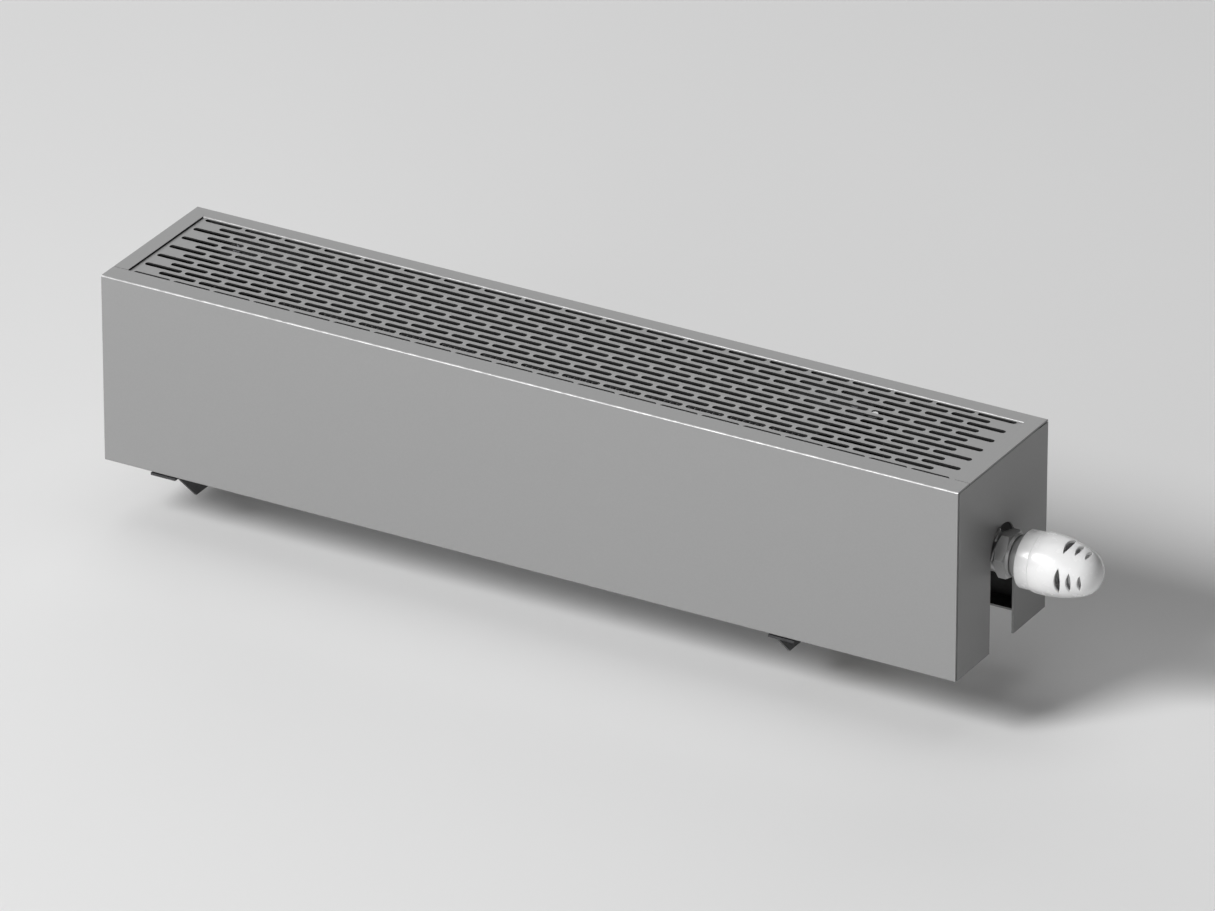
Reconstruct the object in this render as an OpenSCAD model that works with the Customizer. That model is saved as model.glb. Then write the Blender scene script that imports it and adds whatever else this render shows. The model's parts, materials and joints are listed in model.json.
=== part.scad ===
// Wall convector: a sheet-metal casing that lifts off a finned copper core. Two wall brackets carry both,
// and a thermostatic valve at the right end feeds the core.
// The origin is the middle of the four screw slots, on the wall. X runs along the wall, Y points into the
// wall and Z points up. Lengths are in millimetres.

/* [Casing] */
// Length of the casing
casing_l = 706; // [640:2:1200]
// Depth of the casing, from the wall to its front
casing_d = 135; // [132:1:150]
// Height of the casing
casing_h = 150; // [148:1:190]
// Thickness of the casing's sheet
sheet_t = 1.5; // [1.2:0.1:1.7]
// Outer radius of the casing's folds
fold_r = 1.8; // [1.8:0.1:2.4]
// Width of the rail between the grille and the wall
rear_rail_w = 13.7; // [13:0.1:15]
// Width of the rail at each end of the grille
end_rail_w = 12.2; // [12:0.1:20]
// Width of the front panel's top flange
front_rail_w = 16.9; // [16:0.1:20]
// Width of the return flanges along the casing's lower edges
return_w = 17; // [12:1:20]
// Open seam between the front panel and the shell
seam = 0.9; // [0.2:0.1:1.2]
// Width of the pipe slot in the right end
pipe_slot_w = 36; // [34:1:44]
// Height of the pipe slot's round top over the valve's axis
pipe_slot_rise = 3.5; // [0:0.5:10]
// Distance from the left bracket to the casing's left end
left_room = 58; // [48:1:120]
// Distance from the right bracket to the casing's right end
right_room = 153; // [150:1:240]

/* [Grille] */
// Thickness of the grille's sheet
grille_t = 1.2; // [0.8:0.1:2]
// Length of a grille slot
slot_l = 30.8; // [20:0.1:60]
// Width of a grille slot
slot_w = 4.7; // [3:0.1:6]
// Metal between two slots of a row
slot_web = 3; // [2:0.25:6]
// Distance from one row of slots to the next
row_pitch = 8.4; // [7.5:0.1:12]
// Width of the ledges that carry the grille
ledge_w = 10; // [8:0.5:10.5]
// Thickness of the ledges, hangers and corner angles
angle_t = 1.2; // [1:0.1:1.6]

/* [Brackets] */
// Thickness of the bracket's sheet
bracket_t = 2; // [1.5:0.1:3]
// Width of the bracket's wall flange and shelf
flange_w = 21; // [19:0.5:26]
// Depth of the brackets below the casing's lower edge
foot_drop = 28.4; // [22:0.2:40]
// Reach of the shelf from the wall
shelf_reach = 131.4; // [124:0.2:131.8]
// Reach of the lowest edge, where the slant to the shelf begins
foot_reach = 102.3; // [80:0.5:105]
// Thickness of the rubber pad between shelf and casing
pad_t = 2.5; // [2:0.5:8]
// Reach of the upper arm from the wall
arm_reach = 80; // [40:1:100]
// Distance from the casing's top down to the upper arm
arm_down = 22.5; // [20:0.5:26]
// Height of the lower arm's seat for the tubes over the casing's lower edge
cradle_up = 20; // [14:0.5:21]
// Width of the upright strip along the wall
strip_w = 30; // [12:1:34]
// Distance from the upper arm's top down to the upper screw slots
screw_down = 7.5; // [6:0.5:20]
// Height of the lower screw slots over the casing's lower edge
screw_up = 20; // [0:1:22]
// Width of a screw slot
screw_slot_w = 7; // [5:0.5:8]
// Length of a screw slot
screw_slot_l = 12; // [8:0.5:13]

/* [Core] */
// Outer diameter of the core's tubes
tube_d = 15; // [12:0.5:16]
// Wall of the tubes
tube_wall = 1; // [0.7:0.1:1.5]
// Distance between the tubes, front to back
tube_step_y = 42; // [36:1:46]
// Distance between the tubes, up and down
tube_step_z = 40; // [36:1:42]
// Depth of a fin
fin_d = 84; // [72:1:86]
// Height of a fin
fin_h = 100; // [80:1:104]
// Thickness of a fin
fin_t = 0.5; // [0.3:0.1:0.8]
// Distance from one fin to the next
fin_pitch = 5; // [4:0.5:10]
// Free length between the fin pack and each bracket
core_gap = 32; // [26:1:60]
// Outer diameter of the headers
header_d = 28; // [24:0.5:30]
// Wall of the headers
header_wall = 2; // [1.5:0.1:3]
// Length of the headers
header_l = 75; // [70:1:82]
// Distance from the right bracket to the headers' axes
header_out = 30; // [28:1:40]

/* [Valves] */
// Height of the valve's axis over the casing's lower edge
valve_up = 74; // [72:0.5:80]
// Distance from the casing's right end to the valve's lower branch
branch_in = 40; // [38:1:60]
// Distance between the flow and the return connection
port_step = 50; // [50:1:60]
// Diameter of the valve's neck
neck_d = 29.8; // [28:0.1:30]
// Bore of the pipe connections
port_d = 18.6; // [16:0.1:20]
// Depth of the pipe connections
port_l = 14; // [10:0.5:16]
// Height of the pipe connections over the casing's lower edge
port_up = 8; // [4:0.5:10]
// Diameter of the return valve's ball
ball_d = 18; // [16:0.5:18.5]
// Travel of the spindle between shut and open
spindle_travel = 2.5; // [1:0.1:3]

/* [Thermostat head] */
// Width of the union nut across its flats
nut_af = 32; // [32:0.5:36]
// Length of the union nut
nut_l = 11; // [10:0.5:16]
// Gap between the casing and the union nut
nut_out = 2; // [1:0.5:6]
// Diameter of the collar behind the handwheel
collar_d = 43; // [40:0.2:46]
// Length of the collar
collar_l = 10.9; // [8:0.1:12]
// Largest diameter of the handwheel
wheel_d = 45; // [43:0.1:50]
// Length of the handwheel
wheel_l = 48.2; // [46:0.1:54]
// Wall of the handwheel
wheel_wall = 2; // [1.6:0.1:2.4]
// Radius of the handwheel's round tip
tip_r = 17.7; // [15:0.1:18.5]

/* [Hidden] */
$fn = 96;

// Overrun of every cut past the surface it opens
over = 1;
// Clearance of pieces that are pushed or screwed together
fit = 0.1;
// Clearance of shafts that turn or slide in a bore
run = 0.06;

// Levels and edges that the pieces share
half_span = (casing_l - left_room - right_room) / 2;
arm_up = casing_h - arm_down;
arm_h = (arm_up - valve_up - tube_d / 2) / 2;
screw_step_z = arm_up - screw_down - screw_up;
x_left = -half_span - left_room;
x_right = half_span + right_room;
x_mid = (x_left + x_right) / 2;
y_front = -casing_d;
z_base = -screw_up - screw_step_z / 2;
z_top = z_base + casing_h;
y_axis = -casing_d / 2;
z_axis = z_base + valve_up;
x_branch = x_right - branch_in;
x_return = x_branch - port_step;
x_header = half_span + header_out;

// A box between two corners
module block(lo, hi) { translate(lo) cube(hi - lo); }

// Children drawn along +Z are turned to run along +X from a point of the valve's axis
module along_x(x, y = y_axis, z = z_axis) { translate([x, y, z]) rotate([0, 90, 0]) children(); }

// Children drawn along +Z are turned to run along -Y
module along_front(x, y, z) { translate([x, y, z]) rotate([90, 0, 0]) children(); }

// A flat outline in Y and Z, drawn out along X
module profile_x(x, l) { translate([x, 0, 0]) rotate([90, 0, 90]) linear_extrude(l) children(); }

module ring(r_out, r_in, h) {
    difference() {
        cylinder(r = r_out, h = h);
        translate([0, 0, -over]) cylinder(r = r_in, h = h + 2 * over);
    }
}

// A hexagon across its flats, its corners chamfered at both ends
module hexagon(af, h) {
    r = af / 2 / cos(30);
    c = (r - af / 2) * tan(30);
    intersection() {
        cylinder(r = r, h = h, $fn = 6);
        rotate_extrude() polygon([[0, 0], [af / 2, 0], [r, c], [r, h - c], [af / 2, h], [0, h]]);
    }
}

// A slot with round ends, lying along X
module slot_shape(l, w) {
    square([l - w, w], center = true);
    for (side = [-1, 1]) translate([side * (l - w) / 2, 0]) circle(d = w);
}

// Section of a sheet folded once: the outer corner is at zero and the legs run to -X and -Y
module fold(across, down) {
    difference() {
        union() {
            translate([-across, -sheet_t]) square([across - fold_r, sheet_t]);
            translate([-sheet_t, -down]) square([sheet_t, down - fold_r]);
            translate([-fold_r, -fold_r]) intersection() {
                circle(fold_r);
                square(fold_r);
            }
        }
        translate([-fold_r, -fold_r]) circle(fold_r - sheet_t);
    }
}

// Section of a wall of the casing: upright sheet with a top flange and a lower return flange
module wall_section(top_w) {
    fold(top_w, casing_h / 2);
    translate([0, -casing_h]) mirror([0, 1]) fold(return_w, casing_h / 2);
}

// Casing

y_seam = y_front + front_rail_w;
notch_gap = 0.7;
z_arm = z_base + arm_up;
z_grille = z_top - sheet_t - grille_t;
relief = 0.9;
end_gap = 0.4;
slot_shift = 1.5;

module pipe_slot() {
    x = x_right - sheet_t - over;
    y = y_axis + slot_shift;
    z = z_axis + pipe_slot_rise;
    h = sheet_t + 2 * over;
    along_x(x, y, z) cylinder(d = pipe_slot_w, h = h);
    block([x, y - pipe_slot_w / 2, z_base - over], [x + h, y + pipe_slot_w / 2, z]);
}

module bracket_notches() {
    for (side = [0, 1]) mirror([side, 0, 0])
        block([half_span - notch_gap, -return_w - over, z_base - over],
            [half_span + flange_w + notch_gap, over, z_arm + notch_gap]);
}

// The end rail is cut in one with the rear rail; the end itself is joined to the back panel
module casing_end() {
    block([x_right - end_rail_w, y_seam + seam, z_top - sheet_t], [x_right, over - rear_rail_w, z_top]);
    block([x_right - sheet_t, y_front + sheet_t + seam, z_base], [x_right, 0, z_top - sheet_t - end_gap]);
}

module casing_shell() color("silver") difference() {
    union() {
        translate([0, 0, z_top]) profile_x(x_left, casing_l) wall_section(rear_rail_w);
        casing_end();
        translate([2 * x_mid, 0, 0]) mirror([1, 0, 0]) casing_end();
    }
    pipe_slot();
    bracket_notches();
    for (x = [x_left - over, x_right - sheet_t])
        block([x, -rear_rail_w, z_top - sheet_t - relief], [x + sheet_t + over, over, z_top - sheet_t]);
}

// The return flange of the front panel stops short of the casing's ends
module front_panel() color("lightsteelblue") difference() {
    translate([0, 0, z_top]) profile_x(x_left, casing_l)
        translate([y_front, 0]) mirror([1, 0]) wall_section(front_rail_w);
    for (x = [x_left - over, x_right - sheet_t - seam])
        block([x, y_front + sheet_t, z_base - over],
            [x + sheet_t + seam + over, y_front + return_w + over, z_base + sheet_t + over]);
}

grille_l = casing_l - 2 * (sheet_t + seam);
grille_d = casing_d - 2 * (sheet_t + seam);
slot_pitch = slot_l + slot_web;
row_n = round((casing_d - rear_rail_w - front_rail_w) / row_pitch) + 1;
row_slots = floor((casing_l - 2 * end_rail_w + slot_web) / slot_pitch);
slots_off = [-0.9, 0.5];
y_rows = (y_seam - rear_rail_w) / 2 + slots_off.y;

module grille() color("gainsboro") translate([x_mid, 0, z_grille]) linear_extrude(grille_t)
    difference() {
        translate([0, y_axis]) square([grille_l, grille_d], center = true);
        for (i = [0 : row_n - 1]) {
            n = row_slots - i % 2;
            for (j = [0 : n - 1])
                translate([slots_off.x + (j - (n - 1) / 2) * slot_pitch,
                    y_rows - (i - (row_n - 1) / 2) * row_pitch]) slot_shape(slot_l, slot_w);
        }
    }

// An angle under the grille: its upper leg carries the grille and its other leg hangs on the sheet
module ledge(y, side) profile_x(x_left + sheet_t + seam, grille_l) translate([y, z_grille]) {
    translate([side > 0 ? 0 : -ledge_w, -angle_t]) square([ledge_w, angle_t]);
    translate([side > 0 ? 0 : -angle_t, -ledge_w]) square([angle_t, ledge_w]);
}

module front_ledge() color("slategray") ledge(y_front + sheet_t, 1);
module rear_ledge() color("slategray") ledge(-sheet_t, -1);

corner_leg = 14;
corner_play = 2;
module corner_angles() color("dimgray") for (side = [0, 1])
    translate([side * 2 * x_mid, 0, 0]) mirror([side, 0, 0]) {
        lo = [x_right - sheet_t, y_front + sheet_t, z_base + sheet_t + corner_play];
        z = z_grille - ledge_w - corner_play;
        block([lo.x - angle_t, lo.y, lo.z], [lo.x, lo.y + corner_leg, z]);
        block([lo.x - corner_leg, lo.y, lo.z], [lo.x, lo.y + angle_t, z]);
    }

// Hanger angles and levelling screws: the screws stand on the pads at the top of the brackets
hanger_rise = 4.5;
hanger_t = 2;
hanger_leg = 20;
hanger_l = 40;
level_d = 6;
level_y = -20;
level_x = half_span + flange_w / 2;
z_hanger = z_arm + hanger_rise;
level_nut_af = 10;
level_nut_h = 4;
level_tip = 1;

module casing_hangers() color("slategray") for (side = [0, 1]) mirror([side, 0, 0]) difference() {
    x = half_span - notch_gap - hanger_l;
    union() {
        block([x, level_y - level_nut_af, z_hanger], [level_x + level_nut_af, -sheet_t, z_hanger + hanger_t]);
        block([x, -sheet_t - hanger_t, z_hanger + hanger_t - hanger_leg],
            [x + hanger_l - hanger_t, -sheet_t, z_hanger + hanger_t]);
    }
    translate([level_x, level_y, z_hanger - over]) cylinder(d = level_d + 2 * fit, h = hanger_t + 2 * over);
}

module levelling_screws() color("gainsboro") for (side = [0, 1]) mirror([side, 0, 0])
    translate([level_x, level_y, z_arm]) difference() {
        h = hanger_rise + hanger_t + level_nut_h + level_tip;
        cylinder(d = level_d, h = h);
        translate([0, 0, h - level_d / 2]) cylinder(d = level_d / 2, h = level_d / 2 + over, $fn = 6);
    }

module lock_nuts() color("silver") for (side = [0, 1]) mirror([side, 0, 0])
    translate([level_x, level_y, z_hanger + hanger_t]) difference() {
        hexagon(level_nut_af, level_nut_h);
        translate([0, 0, -over]) cylinder(d = level_d + 2 * fit, h = level_nut_h + 2 * over);
    }

// Brackets

z_shelf = z_base - pad_t;
z_foot = z_base - foot_drop;
z_cradle = z_base + cradle_up;
lip_in = 2;
lip_w = 7;
lip_h = 20;
y_lip = y_front + return_w + lip_in;
shelf_back = 60;
pad_arm_w = 17;
pad_arm_l = 16;
x_screw = half_span + bracket_t + (flange_w - bracket_t) / 2;

module bracket_web() profile_x(half_span, bracket_t) {
    slant = z_shelf - z_foot;
    polygon([[0, z_foot], [-foot_reach, z_foot], [-foot_reach - slant, z_shelf],
        [y_lip, z_shelf], [y_lip, z_cradle + lip_h], [y_lip + lip_w, z_cradle + lip_h],
        [y_lip + lip_w, z_cradle], [-strip_w, z_cradle], [-strip_w, z_arm - arm_h],
        [-arm_reach, z_arm - arm_h], [-arm_reach, z_arm], [0, z_arm]]);
}

module bracket() difference() {
    union() {
        bracket_web();
        block([half_span, -bracket_t, z_foot], [half_span + flange_w, 0, z_arm]);
        block([half_span, -shelf_reach, z_shelf - bracket_t], [half_span + flange_w, -shelf_back, z_shelf]);
        block([half_span, level_y - pad_arm_l / 2, z_arm - bracket_t],
            [half_span + pad_arm_w, level_y + pad_arm_l / 2, z_arm]);
    }
    for (z = [-1, 1]) along_front(x_screw, over, z * screw_step_z / 2)
        linear_extrude(bracket_t + 2 * over) slot_shape(screw_slot_l, screw_slot_w);
}

module left_bracket() color("dimgray") mirror([1, 0, 0]) bracket();
module right_bracket() color("dimgray") bracket();

pad_margin = 1.5;
pad_l = 12;
module rest_pads() color("black") for (side = [0, 1]) mirror([side, 0, 0])
    block([half_span + bracket_t + pad_margin, -shelf_reach + pad_margin, z_shelf],
        [half_span + flange_w - pad_margin, -shelf_reach + pad_margin + pad_l, z_base]);

// Core

tube_r = tube_d / 2;
tube_ys = [y_axis - tube_step_y / 2, y_axis + tube_step_y / 2];
z_low = z_axis - tube_step_z;
tube_zs = [z_low, z_axis];
z_fins = (z_low + z_axis) / 2;
fins_half = half_span - core_gap;
saddle_w = 16;
saddle_d = 22;
saddle_foot = 8;
saddle_wrap = 4;

module tube_saddles() color("ivory") for (side = [0, 1], y = tube_ys) mirror([side, 0, 0])
    difference() {
        x = half_span + bracket_t / 2;
        block([x - saddle_w / 2, y - saddle_d / 2, z_cradle - saddle_foot],
            [x + saddle_w / 2, y + saddle_d / 2, z_low + saddle_wrap]);
        along_x(x - saddle_w / 2 - over, y, z_low) cylinder(r = tube_r + fit, h = saddle_w + 2 * over);
        block([half_span - fit, y - saddle_d, z_cradle - saddle_foot - over],
            [half_span + bracket_t + fit, y + saddle_d, z_cradle]);
    }

module tube_holes(x, l, r = tube_r + fit)
    for (y = tube_ys, z = tube_zs) along_x(x, y, z) cylinder(r = r, h = l);

// Fins on collars that close up to a sleeve round each tube
collar_t = 1;
module fin_pack() color("lightgray") difference() {
    n = floor((2 * fins_half - fin_t) / fin_pitch);
    span = n * fin_pitch;
    union() {
        for (i = [0 : n])
            translate([-span / 2 + i * fin_pitch, y_axis, z_fins]) cube([fin_t, fin_d, fin_h], center = true);
        tube_holes(-span / 2, span, tube_r + fit + collar_t);
    }
    tube_holes(-fins_half - over, 2 * (fins_half + over));
}

end_t = 1.5;
end_lip = 8;
module end_plate(x) difference() {
    union() {
        block([x, y_axis - fin_d / 2, z_fins - fin_h / 2], [x + end_t, y_axis + fin_d / 2, z_fins + fin_h / 2]);
        for (z = [z_fins - fin_h / 2, z_fins + fin_h / 2 - end_t])
            block([x, y_axis - fin_d / 2, z], [x + end_lip, y_axis + fin_d / 2, z + end_t]);
    }
    tube_holes(x - over, end_t + 2 * over);
}
x_end_plate = fins_half + fin_t;
module right_end_plate() color("gray") end_plate(x_end_plate);
module left_end_plate() color("gray") mirror([1, 0, 0]) end_plate(x_end_plate);

tube_past = 12;
tube_in = 1;
x_bends = -half_span - tube_past;
tube_l = x_header - header_d / 2 + header_wall + tube_in - x_bends;
module core_tubes() color("peru") for (y = tube_ys, z = tube_zs)
    along_x(x_bends, y, z) ring(tube_r, tube_r - tube_wall, tube_l);

module return_bends() color("peru") for (y = tube_ys)
    translate([x_bends, y, z_fins]) rotate([90, 0, 0]) rotate([0, 0, 90]) rotate_extrude(angle = 180)
        translate([tube_step_z / 2, 0]) difference() {
            circle(tube_r);
            circle(tube_r - tube_wall);
        }

// Headers with their ports, caps, vent and drain
port_r = 9;
return_pipe_r = 7;
vent_r = 5;
vent_y = y_axis + header_l / 3;
header_r = header_d / 2;
y_header_front = y_axis - header_l / 2;

module header(z, port) difference() {
    along_front(x_header, y_axis + header_l / 2, z) ring(header_r, header_r - header_wall, header_l);
    for (y = tube_ys) along_x(x_header - header_d, y, z) cylinder(r = tube_r + fit, h = header_d);
    along_x(x_header, y_axis, z) cylinder(r = port + fit, h = header_d);
}

module flow_header() color("goldenrod") difference() {
    header(z_axis, port_r);
    translate([x_header, vent_y, z_axis]) cylinder(r = vent_r + fit, h = header_d);
}
module return_header() color("goldenrod") header(z_low, return_pipe_r);

cap_t = 3;
cap_in = 4;
module header_cap(flip, z) translate([0, flip ? 2 * y_axis : 0, 0]) mirror([0, flip, 0])
    along_front(x_header, y_header_front + cap_in, z) {
        cylinder(r = header_r - header_wall - fit, h = cap_in);
        translate([0, 0, cap_in]) cylinder(r = header_r, h = cap_t);
    }
module header_caps() color("darkgoldenrod") {
    header_cap(0, z_axis);
    header_cap(1, z_axis);
    header_cap(1, z_low);
}

drain_af = 19;
drain_head = 5;
module drain_plug() color("darkgoldenrod")
    along_front(x_header, y_header_front + cap_in, z_low) {
        cylinder(r = header_r - header_wall - fit, h = cap_in);
        translate([0, 0, cap_in]) cylinder(r = header_r, h = cap_t / 2);
        translate([0, 0, cap_in + cap_t / 2]) hexagon(drain_af, drain_head);
    }

vent_af = 13;
vent_hex_h = 6;
vent_nose = 4;
vent_bore = 2.1;
vent_root = 3;
module vent_body() color("silver") translate([x_header, vent_y, z_axis + header_r]) difference() {
    union() {
        translate([0, 0, -vent_root]) cylinder(r = vent_r, h = vent_root);
        hexagon(vent_af, vent_hex_h);
        cylinder(r = vent_r, h = vent_hex_h + vent_nose);
    }
    translate([0, 0, -vent_root - over]) cylinder(r = vent_bore, h = vent_root + vent_hex_h + vent_nose + 2 * over);
}

vent_key = 5;
vent_key_h = 5;
module vent_screw() color("gainsboro") translate([x_header, vent_y, z_axis + header_r]) {
    shank = vent_hex_h + vent_nose;
    cylinder(r = vent_bore - run, h = shank);
    translate([0, 0, shank]) cylinder(d = vent_key / cos(45), h = vent_key_h, $fn = 4);
}

// Thermostatic valve

barrel_r = 14;
barrel_in = 22;
hex_in = 20;
hex_l = 7;
valve_hex_af = 30;
branch_r = 12;
branch_drop = 30;
seat_in = 10;
seat_r = 7;
chamber_r = 10;
duct_r = 8;
neck_out = 9.5;
gland_af = 16;
gland_l = 6;
gland_pocket = 3;
gland_r = 4;
insert_in = 9;
spindle_r = 2;
disc_r = 8;
washer_t = 2;
holder_r = 6;
holder_l = 4;
x_neck = x_right + neck_out;

// Thin collar between the casing and the union nut, with two tabs; their corners are Y and Z from the axis
lug_r = 15.5;
lug_t = 1.4;
lug_gap = 0.4;
lug_tabs = [[[-6, 21.9], [-13, 14], [-3, 12]], [[-18.5, 1], [-14, 8], [-14, -1]]];

module valve_body() color("silver") difference() {
    union() {
        along_x(x_right + lug_gap) linear_extrude(lug_t) {
            circle(lug_r);
            for (tab = lug_tabs) polygon([for (corner = tab) [-corner[1], corner[0]]]);
        }
        along_x(x_branch - barrel_in) cylinder(r = barrel_r, h = barrel_in + hex_in);
        along_x(x_branch + hex_in) hexagon(valve_hex_af, hex_l);
        along_x(x_branch + hex_in) cylinder(d = neck_d, h = x_neck - x_branch - hex_in);
        translate([x_branch, y_axis, z_axis - branch_drop]) cylinder(r = branch_r, h = branch_drop);
    }
    along_x(x_branch - barrel_in - over) cylinder(r = seat_r, h = barrel_in + over);
    along_x(x_branch - seat_in) cylinder(r = chamber_r, h = x_neck - x_branch + seat_in + over);
    translate([x_branch, y_axis, z_axis - branch_drop - over]) cylinder(r = duct_r, h = branch_drop + over);
}

module valve_insert() color("goldenrod") difference() {
    along_x(x_branch + insert_in) cylinder(r = chamber_r - fit, h = x_right - x_branch - insert_in);
    along_x(x_branch) cylinder(r = spindle_r + run, h = x_right - x_branch + over);
    along_x(x_right - gland_pocket) cylinder(r = gland_r + fit, h = gland_pocket + over);
}

module gland_ring() color("black")
    along_x(x_right - gland_pocket) ring(gland_r, spindle_r + run, gland_pocket);

module gland_nut() color("silver") difference() {
    along_x(x_right) hexagon(gland_af, gland_l);
    along_x(x_right - over) cylinder(r = spindle_r + run, h = gland_l + 2 * over);
}

// Rest is half open: the washer stops just short of the seat when the spindle is shut
shut_gap = 0.05;
x_washer = x_branch - seat_in + spindle_travel / 2 + shut_gap;
x_tip = x_neck + 0.5 * neck_out;
module disc_washer() color("black") along_x(x_washer) cylinder(r = disc_r, h = washer_t);
module spindle() color("gainsboro") {
    along_x(x_washer + washer_t) cylinder(r = holder_r, h = holder_l);
    along_x(x_washer + washer_t) cylinder(r = spindle_r, h = x_tip - x_washer - washer_t);
}

// A helix of round wire as one tube: rings of wire_n points, a ring every turn_n part of a turn
wire_r = 0.5;
wire_n = 6;
turn_n = 14;
turns = 4;
spring_r = 4;
spring_a = x_branch + insert_in - wire_r;
spring_b = x_washer + washer_t + holder_l + spindle_travel / 2 + 2 * shut_gap + wire_r;
function coil_point(i, k) = let (turn = 360 * i / turn_n, w = 360 * k / wire_n,
    r = spring_r + wire_r * cos(w), x = spring_a + (spring_b - spring_a) * i / (turns * turn_n))
    [x + wire_r * sin(w), y_axis + r * cos(turn), z_axis + r * sin(turn)];
module return_spring() color("gray") {
    last = turns * turn_n;
    points = [for (i = [0 : last], k = [0 : wire_n - 1]) coil_point(i, k)];
    sides = [for (i = [0 : last - 1], k = [0 : wire_n - 1]) let (a = i * wire_n, b = (k + 1) % wire_n)
        [a + k, a + b, a + wire_n + b, a + wire_n + k]];
    ends = [[for (k = [wire_n - 1 : -1 : 0]) k], [for (k = [0 : wire_n - 1]) last * wire_n + k]];
    polyhedron(points, concat(sides, ends));
}

// Nipple and union nut between the flow header and the valve
nipple_bore = 7;
nipple_af = 27;
nipple_nut_l = 16;
nipple_collar = 2;
x_valve = x_branch - barrel_in;
x_port = x_header + header_r - header_wall - tube_in;
module flow_nipple() color("goldenrod") difference() {
    union() {
        along_x(x_port) cylinder(r = port_r, h = x_valve - x_port);
        along_x(x_valve - nipple_collar) cylinder(r = barrel_r - fit, h = nipple_collar);
    }
    along_x(x_port - over) cylinder(r = nipple_bore, h = x_valve - x_port + 2 * over);
}
nipple_nut_af = 32;
module nipple_nut() color("silver") difference() {
    x = x_valve - nipple_nut_l / 2;
    along_x(x) hexagon(nipple_nut_af, nipple_nut_l);
    along_x(x - over) cylinder(r = port_r + fit, h = nipple_nut_l);
    along_x(x_valve - nipple_collar) cylinder(r = barrel_r + fit, h = nipple_nut_l);
}

// Flow tail: a foot with the pipe connection, a pipe and a collar under the valve's branch
z_port = z_base + port_up;
z_branch = z_axis - branch_drop;
tail_af = 27;
foot_roof = 4;
foot_h = port_l + foot_roof;
tail_collar = 2;
tail_nut_h = 12;
module flow_tail() color("silver") translate([x_branch, y_axis, 0]) difference() {
    union() {
        translate([0, 0, z_port]) hexagon(tail_af, foot_h);
        translate([0, 0, z_port]) cylinder(r = port_r, h = z_branch - z_port);
        translate([0, 0, z_branch - tail_collar]) cylinder(r = branch_r - fit, h = tail_collar);
    }
    translate([0, 0, z_port - over]) cylinder(d = port_d, h = port_l + over);
    translate([0, 0, z_port]) cylinder(r = nipple_bore, h = z_branch - z_port + over);
}
module tail_nut() color("gainsboro") translate([x_branch, y_axis, z_branch - tail_nut_h / 2]) difference() {
    hexagon(tail_af, tail_nut_h);
    translate([0, 0, -over]) cylinder(r = port_r + fit, h = tail_nut_h);
    translate([0, 0, tail_nut_h / 2 - tail_collar]) cylinder(r = branch_r + fit, h = tail_nut_h);
}

// Return valve: a ball with an angled port, its stem to the front, and the connection below
ball_r = ball_d / 2;
cavity_r = ball_r + 3 * fit;
return_r = 13;
return_top = 12;
boss_r = 8;
boss_l = 19;
ball_port_r = 5;
body_port_r = 6;
seat_out_r = 8;
seat_t = 1.5;
seat_port_r = 5.5;
seat_off = sqrt(pow(ball_r, 2) - pow(seat_port_r, 2)) + fit;
stem_r = 3;
stem_root = 7;
stem_l = 17;
seal_at = 13;
seal_l = 2;
seal_r = 4.6;
pipe_stop = seat_off + seat_t + seat_port_r / 10;

module at_ball() translate([x_return, y_axis, z_low]) children();
module to_left() rotate([0, -90, 0]) children();
module to_front() rotate([90, 0, 0]) children();
module to_floor() rotate([180, 0, 0]) children();

module return_valve_body() color("silver") difference() {
    drop = z_low - z_port;
    union() {
        at_ball() to_floor() cylinder(r = return_r, h = drop);
        at_ball() cylinder(r = return_r, h = return_top);
        translate([x_return, y_axis, z_port]) hexagon(tail_af, port_l);
        at_ball() to_front() cylinder(r = boss_r, h = boss_l);
    }
    at_ball() {
        sphere(cavity_r);
        cylinder(r = cavity_r, h = return_top + over);
        to_floor() cylinder(r = body_port_r, h = drop + over);
        to_left() cylinder(r = body_port_r, h = return_r + over);
        to_left() translate([0, 0, pipe_stop]) cylinder(r = return_pipe_r + fit, h = return_r);
        to_left() cylinder(r = seat_out_r + fit, h = seat_off + seat_t + fit);
        to_floor() cylinder(r = seat_out_r + fit, h = seat_off + seat_t + fit);
        to_front() cylinder(r = stem_r + run, h = boss_l + over);
        to_front() translate([0, 0, seal_at]) cylinder(r = seal_r + fit, h = seal_l + fit);
    }
    translate([x_return, y_axis, z_port - over]) cylinder(d = port_d, h = port_l + over);
}

module return_ball() color("gainsboro") at_ball() difference() {
    sphere(ball_r);
    to_left() cylinder(r = ball_port_r, h = ball_d);
    to_floor() cylinder(r = ball_port_r, h = ball_d);
    to_front() translate([0, 0, stem_root]) cylinder(r = stem_r + fit, h = ball_r);
}
module ball_stem() color("silver") at_ball() to_front() difference() {
    translate([0, 0, stem_root]) cylinder(r = stem_r, h = stem_l);
    translate([0, 0, stem_root + stem_l - stem_r]) cylinder(r = stem_r / 2, h = stem_r + over, $fn = 6);
}
module ball_seats() color("white") at_ball() {
    to_left() translate([0, 0, seat_off]) ring(seat_out_r, seat_port_r, seat_t);
    to_floor() translate([0, 0, seat_off]) ring(seat_out_r, seat_port_r, seat_t);
}
module stem_seal() color("black") at_ball() to_front() translate([0, 0, seal_at])
    ring(seal_r, stem_r + run, seal_l);

plug_in = 2.5;
plug_head = 4;
plug_af = 22;
module return_plug() color("silver") at_ball() {
    translate([0, 0, return_top - plug_in]) cylinder(r = cavity_r - fit, h = plug_in);
    translate([0, 0, return_top]) hexagon(plug_af, plug_head);
}

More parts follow.
